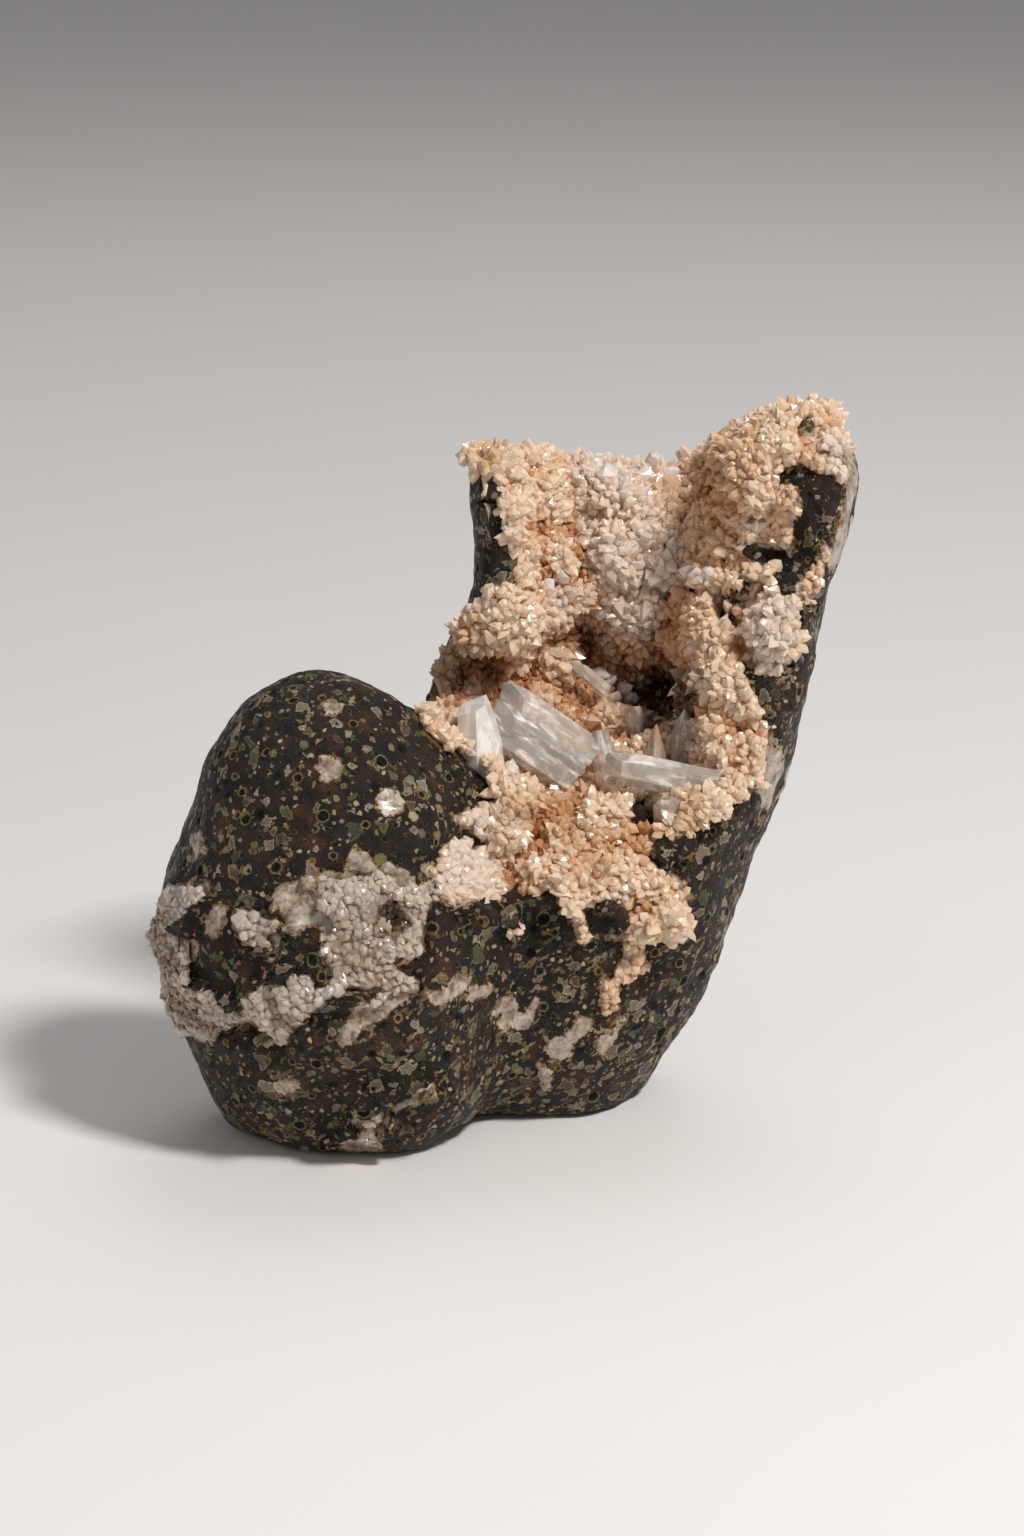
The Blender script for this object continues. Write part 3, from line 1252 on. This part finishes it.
@dataclass(frozen=True)
class Grain:
    """One heulandite grain: a faceted crystal, as rings of a many-sided section."""

    sides: int = 5
    rings: tuple[tuple[float, float], ...] = ((-0.5, 0.80), (0.28, 1.0), (0.70, 0.62))
    tip: float = 1.06
    squash: tuple[float, float] = (0.65, 1.0)
    uneven: float = 0.09

    def surface(self) -> Surface:
        """A closed form of unit radius and height, standing on the origin."""
        turn = np.arange(self.sides) / self.sides * math.tau
        heights, spreads = np.array(self.rings).T
        count = len(heights)
        x = spreads[:, None] * np.cos(turn)
        y = spreads[:, None] * np.sin(turn)
        z = np.repeat(heights[:, None], self.sides, axis=1)
        points = np.stack((x, y, z), axis=2).reshape(-1, 3)
        points = np.vstack((points, (0, 0, heights[0]), (0, 0, self.tip)))
        ring = np.arange(self.sides)
        after = (ring + 1) % self.sides
        faces = []
        for level in range(count - 1):
            low, high = level * self.sides, (level + 1) * self.sides
            faces.append(np.stack((low + ring, low + after, high + after), axis=1))
            faces.append(np.stack((low + ring, high + after, high + ring), axis=1))
        bottom, top = count * self.sides, count * self.sides + 1
        faces.append(np.stack((after, ring, np.full(self.sides, bottom)), axis=1))
        last = (count - 1) * self.sides
        faces.append(np.stack((last + ring, last + after, np.full(self.sides, top)), axis=1))
        return Surface(points, np.concatenate(faces))

    def spread(self, places: Array, normals: Array, sizes: Array, tilt: float, seed: int) -> Surface:
        """Copies the grain to many places as one joined surface.

        Args:
            places: the grains' feet in mm, shape (n, 3).
            normals: unit directions they grow in.
            sizes: radius and height of each, shape (n, 2).
            tilt: how far they lean, as a share of the normal.
            seed: which random leans and turns.

        Returns:
            The joined surface, with the trait tip from 0 at a grain's foot to 1 at its point.
        """
        draw = np.random.default_rng(seed)
        axis = normals + draw.normal(size=normals.shape) * tilt
        axis /= np.linalg.norm(axis, axis=1, keepdims=True)
        side = np.cross(axis, draw.normal(size=normals.shape))
        side /= np.maximum(np.linalg.norm(side, axis=1, keepdims=True), 1e-9)
        third = np.cross(axis, side)
        form = self.surface()
        flat = draw.uniform(*self.squash, size=len(places))
        shift = draw.normal(size=(len(places), 2)) * 0.15
        unit = np.repeat(form.points[None], len(places), axis=0)
        unit[..., :2] += shift[:, None] * np.maximum(unit[..., 2:], 0.0)
        unit *= 1 + draw.normal(size=unit.shape) * self.uneven
        scaled = unit * np.stack((sizes[:, 0], sizes[:, 0] * flat, sizes[:, 1]), axis=1)[:, None]
        points = places[:, None] + (
            scaled[..., :1] * side[:, None] + scaled[..., 1:2] * third[:, None]
            + scaled[..., 2:] * axis[:, None]
        )
        starts = np.arange(len(places))[:, None, None] * len(form.points)
        made = Surface(points.reshape(-1, 3), (form.faces[None] + starts).reshape(-1, 3))
        made.traits["tip"] = np.tile(np.clip(form.points[:, 2], 0.0, 1.0), len(places))
        return made


@dataclass
class Places:
    """Places on a surface: where they are, which way they face, and the traits there."""

    points: Array
    normals: Array
    traits: dict[str, Array]

    @classmethod
    def on(cls, surface: Surface, spacing: float, seed: int) -> "Places":
        """Random places about a spacing apart, where the trait keep is over zero.

        Many points are drawn on the triangles by area, and one is kept in each cube of a
        grid. A place has the traits of the first corner of its triangle.

        Args:
            surface: where to put them.
            spacing: the grid's cube in mm.
            seed: which draw.

        Returns:
            The places.
        """
        draw = np.random.default_rng(seed)
        corners = surface.triangles()
        corners = corners[surface.traits["keep"][corners].min(axis=1) > 0.0]
        a, b, c = (surface.points[corners[:, k]] for k in range(3))
        area = np.linalg.norm(np.cross(b - a, c - a), axis=1) / 2
        count = int(area.sum() / spacing**2 * 6)
        chosen = draw.choice(len(area), size=count, p=area / area.sum())
        u, v = draw.uniform(size=(2, count))
        over = u + v > 1
        u, v = np.where(over, 1 - u, u), np.where(over, 1 - v, v)
        places = a[chosen] + u[:, None] * (b - a)[chosen] + v[:, None] * (c - a)[chosen]
        _, kept = np.unique(np.floor(places / spacing).astype(int), axis=0, return_index=True)
        corners = corners[chosen[kept]]
        normals = surface.normals()[corners].mean(axis=1)
        normals /= np.maximum(np.linalg.norm(normals, axis=1, keepdims=True), 1e-9)
        traits = {name: values[corners[:, 0]] for name, values in surface.traits.items()}
        return cls(places[kept], normals, traits)


@dataclass(frozen=True)
class Mound:
    """A swelling of a crust, or a hollow if its height is below zero, at a picture point."""

    pixel: tuple[float, float]
    reach: tuple[float, float]
    height: float
    turn: float = 0.0

    def rise(self, pixels: Array) -> Array:
        """The height times e to minus the squared distance in units of the reach."""
        offset = pixels - np.array(self.pixel)
        cos, sin = math.cos(math.radians(self.turn)), math.sin(math.radians(self.turn))
        along = (offset[:, 0] * cos + offset[:, 1] * sin) / self.reach[0]
        across = (offset[:, 1] * cos - offset[:, 0] * sin) / self.reach[1]
        return self.height * np.exp(-(along**2 + across**2))


@dataclass
class Druse:
    """A crust of grains over one node."""

    node: str
    name: str
    slot: Slot
    finish: DruseFinish
    base_spacing: float = 0.6
    lumps: tuple[tuple[float, float, int], ...] = ()
    mounds: tuple[Mound, ...] = ()
    grain: Grain = Grain()
    grain_spacing: float = 0.85
    radii: tuple[float, float] = (0.45, 0.95)
    heights: tuple[float, float] = (0.35, 1.25)
    tilt: float = 0.40
    shell: float = 0.85
    sunk: float = 1.6
    lowered: float = 0.0
    seed: int = 5
    edge: Pixels | None = None
    faceted: bool = True
    outer_flat: float = 0.6

    def bed(self) -> Surface:
        """The node's shape eased, with lumps, mounds and hollows on its outer side.

        A lump field is the size of a wave of noise without its sign, which has round tops
        and creased valleys. All of it is lower near the top. Where the skin of the stone
        shows, the bed sinks below it.
        """
        base = fused(node_surface(self.node), self.base_spacing)
        base = base.smoothed(12, cap=0.6)
        outer = step_up(gaps(base, frame["nodes"]["basalt_matrix"]), self.shell * 0.8, self.shell * 1.5)
        points, normals = base.points, base.normals()
        pixels = EYE.seen(points)
        seen = step_up(EYE.facing(points, normals), -0.35, 0.1)
        rise = sum(
            height * (np.abs(waves(points, size, seed)) * 2 - 0.6) for size, height, seed in self.lumps)
        rise = rise + sum(mound.rise(pixels) for mound in self.mounds) * seen
        bare = depth_in_any(SKIN_IN_CRUST, pixels) + 0.25
        if self.edge is not None:
            bare = -depth_in(self.edge, pixels)
        bare = np.where(seen > 0.5, bare, -4.0)
        share = step_up(bare, -0.6, 0.2)
        rise = (rise - self.lowered) * (1 - share) - self.sunk * share
        rise *= 1 - 0.6 * step_up(points[:, 2], 85.0, 89.5)
        base.points = points + normals * (rise * outer)[:, None]
        smooth = base.smoothed(40, share=1.0)
        raised = np.sum((base.points - smooth.points) * normals, axis=1)
        base.traits = {
            "keep": np.minimum(outer - 0.45, -bare - 0.3), "raised": np.clip(raised / 0.8, -1.0, 1.0),
        }
        return base

    def tinted(self, surface: Surface) -> None:
        """Adds the traits white, stain and cave from the outlines."""
        pixels = EYE.seen(surface.points)
        front = EYE.facing(surface.points, surface.normals()) > -0.3
        for trait, outlines, low, high in (
            ("white", PALE_NOTCH, -3.0, 3.0), ("stain", AMBER, -2.5, 2.5),
        ):
            surface.traits[trait] = step_up(depth_in_any(outlines, pixels), low, high) * front
        torn = waves(surface.points, 2.0, self.seed + 40) * 0.8
        shaded = [
            weight * step_up(depth_in(outline, pixels) + torn, -1.4, 1.6) for weight, outline in CAVES]
        surface.traits["cave"] = np.max(shaded, axis=0) * front

    def build(self, bed: Surface, extra: Surface | None = None) -> list[bpy.types.Object]:
        """Builds the crust: its bed, and the grains that cover its outer side.

        Grains are sized by a slow noise with a random part, and lean at random.

        Args:
            bed: the crust's own bed.
            extra: more surface for grains to grow on.

        Returns:
            The pieces.
        """
        self.tinted(bed)
        grains = []
        for number, ground in enumerate((bed, extra)):
            if ground is None:
                continue
            if number:
                self.tinted(ground)
            places = Places.on(ground, self.grain_spacing, self.seed + 9 * number)
            grains.append(self.grains(places, self.seed + 1 + number, self.outer_flat if number else 1.0))
        bed.traits["tip"] = np.zeros(len(bed.points))
        bed.traits["shade"] = np.full(len(bed.points), 0.3)
        pieces = [bed.object(f"{self.name}_bed")]
        for surface, part in zip(grains, ("grains", "outer_grains")):
            pieces.append(surface.object(f"{self.name}_{part}", smooth=not self.faceted))
        return pieces

    def grains(self, places: Places, seed: int, flat: float) -> Surface:
        """The grains at some places, with their traits, and their heights times flat."""
        draw = np.random.default_rng(seed)
        count = len(places.points)
        slow = clouds(places.points, 5.0, self.seed + 2)
        share = 0.35 + 0.45 * slow + np.abs(draw.normal(size=count)) * 0.30
        share = np.clip(share + 0.25 * places.traits["white"], 0.0, 1.4)
        sizes = np.stack((
            self.radii[0] + (self.radii[1] - self.radii[0]) * share,
            (self.heights[0] + (self.heights[1] - self.heights[0]) * share)
            * draw.uniform(0.7, 1.25, size=count) * flat,
        ), axis=1)
        made = self.grain.spread(places.points, places.normals, sizes, self.tilt, seed + 2)
        each = len(made.points) // count
        made.traits["shade"] = np.repeat(draw.uniform(size=count), each)
        for trait in ("raised", "white", "stain", "cave"):
            made.traits[trait] = np.repeat(places.traits[trait], each)
        LOG.info("%s: %d grains", self.name, count)
        return made

    def dress(self, pieces: list[bpy.types.Object]) -> None:
        """Gives the crust its finish."""
        material = self.finish.material()
        for piece in pieces:
            dressed(piece, material, self.slot, self.node)


@dataclass(frozen=True)
class BrightCrystals:
    """Single white crystals that stand out of the crust.

    Each is a picture point, a radius and a height in mm, and how far it leans to the
    right and up, as shares of the surface's normal.
    """

    spots: tuple[tuple[tuple[float, float], float, float, float, float], ...] = (
        ((590, 672), 1.1, 3.0, 1.0, -0.4), ((604, 684), 1.3, 2.2, 0.6, -0.2),
        ((618, 690), 1.4, 2.4, 0.3, 0.3), ((628, 703), 1.2, 2.0, 0.2, 0.2),
        ((612, 702), 1.1, 1.7, -0.3, 0.2), ((637, 724), 1.2, 2.6, -0.1, 1.0),
        ((700, 580), 1.8, 1.4, 0.1, 0.2), ((692, 572), 1.3, 1.5, -0.3, 0.4),
        ((709, 575), 1.2, 1.4, 0.4, 0.3), ((600, 612), 1.2, 2.0, 0.2, 0.4),
        ((511, 775), 1.2, 1.6, 0.1, 0.4), ((622, 898), 1.3, 1.2, 0.2, 0.2),
        ((612, 894), 1.0, 1.1, -0.2, 0.3), ((597, 474), 1.7, 2.6, -0.2, 1.0),
        ((609, 480), 1.5, 2.2, 0.3, 0.8), ((655, 470), 1.6, 3.2, 0.0, 1.2),
        ((668, 478), 1.5, 2.4, 0.4, 0.9), ((643, 482), 1.4, 2.2, -0.4, 0.8),
        ((623, 488), 1.3, 1.9, 0.1, 0.8), ((630, 548), 1.6, 1.8, -0.2, 0.3),
        ((672, 552), 1.7, 2.2, 0.2, 0.3), ((686, 556), 1.4, 1.6, 0.4, 0.2),
        ((560, 578), 1.2, 2.2, 0.5, 0.6), ((544, 590), 1.2, 1.8, 0.2, 0.4),
    )
    form: Grain = Grain(sides=6, rings=((-0.5, 0.9), (0.55, 1.0), (0.86, 0.55)), squash=(0.55, 0.85))

    def build(self, bed: Surface) -> bpy.types.Object:
        """Builds the crystals on a crust's bed.

        Args:
            bed: the surface that carries them.

        Returns:
            The piece.
        """
        tree = tree_of(bed)
        found = [spot_on(tree, spot[0]) for spot in self.spots]
        places = np.array([place for place, _ in found])
        ways = np.array([normal for _, normal in found])
        ways = ways + np.array([(right, 0.0, up) for *_, right, up in self.spots])
        ways /= np.linalg.norm(ways, axis=1, keepdims=True)
        sizes = np.array([(radius, height) for _, radius, height, _, _ in self.spots])
        made = self.form.spread(places, ways, sizes, 0.0, 61)
        each = len(made.points) // len(places)
        along = np.repeat(ways, each, axis=0)
        offset = made.points - np.repeat(places, each, axis=0)
        made.traits["along"] = np.sum(offset * along, axis=1)
        made.traits["across"] = np.linalg.norm(offset - along * made.traits["along"][:, None], axis=1)
        made.traits["milk"] = np.full(len(made.points), 0.5)
        made.traits["stain"] = np.zeros(len(made.points))
        return made.object("heulandite_bright", smooth=False)

    def dress(self, made: bpy.types.Object) -> None:
        """Gives the crystals a white glassy finish."""
        finish = CalciteFinish("heulandite_white", white=(0.92, 0.85, 0.79))
        dressed(made, finish.material(), Slot.HEULANDITE)


# The calcite


@dataclass(frozen=True)
class Crystal:
    """A six-sided calcite crystal between its foot and tip, in mm.

    The sides and end faces are planes in the crystal's own box, where x runs across the
    view and y into it from -1 to 1, and z up its length from 0 to 1.
    """

    foot: tuple[float, float, float]
    tip: tuple[float, float, float]
    width: float
    depth: float
    ends: tuple[tuple[float, float, float, float], ...]
    turn: float = 0.0
    milk: float = 0.0
    orange: bool = False

    def planes(self) -> Array:
        """The planes as rows a, b, c, d, with a x + b y + c z at most d inside."""
        angles = math.radians(30 + self.turn) + np.arange(6) * math.tau / 6
        sides = np.stack((
            np.cos(angles), np.sin(angles), np.zeros(6), np.full(6, math.cos(math.pi / 6)),
        ), axis=1)
        return np.vstack((sides, (0, 0, -1, 0), np.array(self.ends)))

    def frame(self) -> tuple[Array, Array, Array]:
        """The crystal's across, inward and along directions."""
        along = np.array(self.tip) - np.array(self.foot)
        along = along / np.linalg.norm(along)
        across = np.cross(along, (0.0, 1.0, 0.0))
        across /= np.linalg.norm(across)
        if across[2] < 0 and abs(across[2]) > abs(across[0]):
            across = -across
        return across, np.cross(along, across), along

    def faces(self) -> list[Array]:
        """The crystal's faces as rings of points in its own box.

        Every three planes meet in a point, and the points inside all the planes are the
        corners. A face is the corners on one plane, ordered by their angle round it.
        """
        planes = self.planes()
        normals, limits = planes[:, :3], planes[:, 3]
        threes = np.array(list(itertools.combinations(range(len(planes)), 3)))
        systems = normals[threes]
        solvable = np.abs(np.linalg.det(systems)) > 1e-9
        corners = np.linalg.solve(systems[solvable], limits[threes[solvable]][..., None])[..., 0]
        inside = np.all(corners @ normals.T <= limits + 1e-7, axis=1)
        corners = np.unique(np.round(corners[inside], 6), axis=0)
        rings = []
        for normal, limit in zip(normals, limits):
            on = corners[np.abs(corners @ normal - limit) < 1e-5]
            if len(on) < 3:
                continue
            middle = on.mean(axis=0)
            first = on[0] - middle
            second = np.cross(normal, first)
            angle = np.arctan2((on - middle) @ second, (on - middle) @ first)
            rings.append(on[np.argsort(angle)])
        return rings


@dataclass
class Calcite:
    """The calcite on the seat: one piece for each node."""

    crystals: dict[str, tuple[Crystal, ...]]
    bevel: float = 0.12

    def build(self) -> list[tuple[bpy.types.Object, str]]:
        """Builds the crystals, each where its node is.

        Returns:
            The pieces with the nodes they stand for.
        """
        return [(self.piece(node, forms), node) for node, forms in self.crystals.items()]

    def piece(self, node: str, forms: tuple[Crystal, ...]) -> bpy.types.Object:
        """One node's crystals as one object with bevelled edges."""
        bm = bmesh.new()
        names = ("milk", "stain", "across", "along")
        layers = [bm.verts.layers.float.new(name) for name in names]
        for form in forms:
            across, inward, along = form.frame()
            length = float(np.linalg.norm(np.array(form.tip) - np.array(form.foot)))
            known: dict[tuple, bmesh.types.BMVert] = {}
            for ring in form.faces():
                corners = []
                for corner in ring:
                    key = tuple(np.round(corner, 5))
                    if key not in known:
                        x, y, z = corner
                        place = (
                            np.array(form.foot) + across * x * form.width / 2
                            + inward * y * form.depth / 2 + along * z * length
                        )
                        made = bm.verts.new(place * MM)
                        values = (
                            form.milk, float(form.orange and z > 0.7), x * form.width / 2, z * length)
                        for layer, value in zip(layers, values):
                            made[layer] = value
                        known[key] = made
                    corners.append(known[key])
                bm.faces.new(corners)
        bmesh.ops.recalc_face_normals(bm, faces=bm.faces[:])
        mesh = bpy.data.meshes.new(node + "_clear")
        bm.to_mesh(mesh)
        bm.free()
        made = bpy.data.objects.new(node + "_clear", mesh)
        bpy.context.scene.collection.objects.link(made)
        edge = made.modifiers.new("Bevel", "BEVEL")
        edge.width = self.bevel * MM
        edge.segments = 2
        edge.limit_method = "ANGLE"
        edge.angle_limit = math.radians(12)
        return made

    def dress(self, pieces: list[tuple[bpy.types.Object, str]]) -> None:
        """Gives the crystals their finish."""
        clear = CalciteFinish("calcite_clear").material()
        for made, node in pieces:
            dressed(made, clear, Slot.CALCITE, node)


POINTED_ENDS = (
    (0.55, 0.25, 0.62, 0.62), (-0.5, 0.35, 0.60, 0.6), (0.1, -0.62, 0.66, 0.66),
    (-0.35, -0.5, 0.75, 0.78),
)
BLUNT_ENDS = ((0.0, -0.12, 1.0, 1.0), (0.8, -0.2, 1.6, 2.05), (-0.7, -0.4, 1.6, 2.0))
CHISEL_ENDS = ((0.35, 0.1, 1.0, 1.05), (-0.45, 0.2, 1.0, 1.12), (0.0, -0.6, 1.1, 1.25))
SHOULDERED_ENDS = ((0.13, 0.05, 1.0, 0.966), (-0.8, 0.1, 1.0, 1.208), (-0.1, -0.42, 1.0, 1.16))
SLANT_ENDS = ((-0.07, -0.10, 1.0, 0.96), (0.9, -0.2, 1.6, 2.25), (-0.6, -0.7, 1.6, 2.1))


def calcite_table() -> dict[str, tuple[Crystal, ...]]:
    """The crystals of each node, where the part has them."""
    return {
        "calcite_cluster": (
            Crystal((-3.0, -4.9, 42.8), (-3.4, -4.1, 55.6), 6.2, 5.2, SHOULDERED_ENDS, 20.0, 0.5),
            Crystal((10.9, 0.8, 46.6), (0.3, -2.6, 55.1), 4.7, 4.4, SLANT_ENDS, 8.0),
            Crystal((9.3, -0.4, 45.0), (-0.8, -3.9, 53.1), 4.3, 4.0, SLANT_ENDS, -6.0),
            Crystal((8.0, -1.4, 43.8), (0.2, -4.5, 50.1), 4.1, 3.8, BLUNT_ENDS, 10.0),
        ),
        "calcite_long_prism": (
            Crystal((27.3, -7.0, 44.3), (13.8, -3.2, 46.2), 4.5, 4.0, BLUNT_ENDS, 12.0),
        ),
        "calcite_upright_prism": (
            Crystal((13.3, 1.8, 40.8), (12.2, 1.1, 49.3), 3.0, 2.4, BLUNT_ENDS, 10.0),
        ),
        "calcite_pointed_crystal": (
            Crystal((19.1, 2.4, 43.0), (19.5, 1.4, 50.7), 3.6, 2.8, POINTED_ENDS, orange=True),
        ),
        "calcite_back_block": (
            Crystal((17.4, 11.9, 44.2), (17.0, 10.1, 50.4), 2.2, 1.9, BLUNT_ENDS),
        ),
        "calcite_back_prism": (
            Crystal((13.4, 15.1, 51.3), (8.9, 15.2, 55.2), 1.9, 2.2, CHISEL_ENDS),
        ),
        "calcite_broad_blade": (
            Crystal((22.9, 3.3, 42.6), (23.1, 3.4, 51.4), 3.0, 1.6, CHISEL_ENDS),
        ),
        "calcite_narrow_blade": (
            Crystal((26.1, -1.9, 43.6), (26.3, -1.7, 50.0), 1.6, 1.3, POINTED_ENDS),
        ),
        "calcite_front_block": (
            Crystal((20.8, -8.5, 39.4), (20.7, -9.9, 43.8), 4.0, 2.6, BLUNT_ENDS),
        ),
    }


# The studio


@dataclass(frozen=True)
class Lamp:
    """A square soft light: its direction from the object in degrees, distance, size and power."""

    name: str
    azimuth: float
    elevation: float
    distance: float
    size: float
    power: float
    colour: Colour = (1.0, 1.0, 1.0)

    def build(self) -> None:
        """Makes the light, turned to the object."""
        data = bpy.data.lights.new(self.name, "AREA")
        data.energy = self.power
        data.size = self.size
        data.color = self.colour
        made = bpy.data.objects.new(self.name, data)
        a, e = math.radians(self.azimuth), math.radians(self.elevation)
        back = Vector((math.sin(a) * math.cos(e), -math.cos(a) * math.cos(e), math.sin(e)))
        made.location = Vector(EYE.aim) * MM + back * self.distance
        made.rotation_euler = back.to_track_quat("Z", "Y").to_euler()
        bpy.context.scene.collection.objects.link(made)


@dataclass
class Studio:
    """A pale floor, one main light from the upper right front, and soft fill."""

    half_floor: float = 4.0
    world: float = 0.27
    lamps: tuple[Lamp, ...] = (
        Lamp("main", 48.0, 50.0, 0.9, 0.14, 6.7, (1.0, 0.975, 0.95)),
        Lamp("fill", -50.0, 25.0, 1.2, 0.9, 0.85, (1.0, 0.985, 0.97)),
        Lamp("back", 170.0, 55.0, 1.2, 0.7, 2.2),
    )

    def build(self) -> None:
        """Makes the floor, the lights, the world and the camera."""
        reach = self.half_floor / MM
        corners = np.array(((-reach, -reach, 0), (reach, -reach, 0), (reach, reach, 0), (-reach, reach, 0)), dtype=float)
        floor = Surface(corners, np.array(((0, 1, 2, 3),))).object("floor")
        floor.data.materials.append(FloorFinish().material())
        for lamp in self.lamps:
            lamp.build()
        world = bpy.data.worlds.new("studio")
        world.use_nodes = True
        shade = world.node_tree.nodes["Background"]
        shade.inputs["Color"].default_value = (0.86, 0.85, 0.84, 1.0)
        shade.inputs["Strength"].default_value = self.world
        bpy.context.scene.world = world
        bpy.context.scene.view_settings.view_transform = "Standard"
        EYE.camera()


HOLLOW_FINISH = DruseFinish("heulandite_druse")
PALE_FINISH = DruseFinish(
    "heulandite_pale", deep=(0.11, 0.055, 0.028), middle=(0.24, 0.142, 0.086),
    pale=(0.40, 0.28, 0.20), tip=(0.66, 0.53, 0.43), clear=(0.64, 0.54, 0.47), middle_share=0.50,
)
POCKETS = {
    "heulandite_pocket": POCKET_EDGE, "heulandite_spot": SPOT_EDGE, "heulandite_vein": VEIN_EDGE,
}
DIPS = (Mound((389, 920), (14, 15), -1.7), Mound((330, 768), (17, 14), -0.9, 20.0))
MOUNDS = (
    Mound((505, 610), (50, 26), 2.2, 30.0),
    Mound((545, 660), (34, 20), 1.8, 20.0),
    Mound((618, 612), (30, 26), 2.0),
    Mound((720, 680), (32, 48), 2.0, 10.0),
    Mound((515, 800), (36, 18), 1.6, 10.0),
    Mound((520, 825), (22, 10), -1.8),
    Mound((625, 815), (46, 26), 2.0),
    Mound((576, 805), (8, 22), -1.8),
    Mound((594, 870), (12, 10), -1.8),
    Mound((636, 907), (8, 9), -1.8),
    Mound((655, 500), (26, 30), 0.8),
    Mound((700, 520), (26, 44), -1.4),
    Mound((588, 638), (15, 20), -2.0),
    Mound((480, 665), (26, 24), -1.8),
    Mound((664, 592), (12, 12), -2.0),
    Mound((632, 452), (48, 26), -2.4),
)


def main() -> None:
    """Builds every piece, then the studio."""
    logging.basicConfig(level=logging.INFO, format="%(message)s")
    known = {*frame["nodes"].values(), *frame["bodies"].values()}
    for found in list(bpy.data.objects):
        if found not in known:
            bpy.data.objects.remove(found, do_unlink=True)
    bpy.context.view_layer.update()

    stone = Stone()
    rock, skin = stone.build()
    stone.dress(rock)
    hollow = Druse(
        "heulandite_crust", "heulandite_hollow", Slot.HEULANDITE, HOLLOW_FINISH,
        lumps=((7.0, 1.8, 81), (3.6, 1.1, 82), (1.9, 0.4, 83)), mounds=MOUNDS, grain_spacing=1.0,
        radii=(0.5, 1.0), heights=(0.45, 1.7), tilt=0.45,
    )
    bed = hollow.bed()
    hollow.dress(hollow.build(bed, skin))
    bright = BrightCrystals()
    bright.dress(bright.build(bed))
    for number, (node, edge) in enumerate(POCKETS.items()):
        druse = Druse(
            node, node + "_druse", Slot.PALE, PALE_FINISH, base_spacing=0.5,
            lumps=((3.0, 0.5, 91),), grain_spacing=0.90, radii=(0.4, 1.0), heights=(0.15, 0.7),
            tilt=0.45, shell=0.75, seed=15 + 10 * number, edge=edge, lowered=0.1,
            mounds=(*DIPS, Mound((352, 890), (16, 14), 0.7)),
        )
        druse.dress(druse.build(druse.bed()))
    calcite = Calcite(calcite_table())
    calcite.dress(calcite.build())
    Studio().build()


if __name__ == "__main__":
    main()
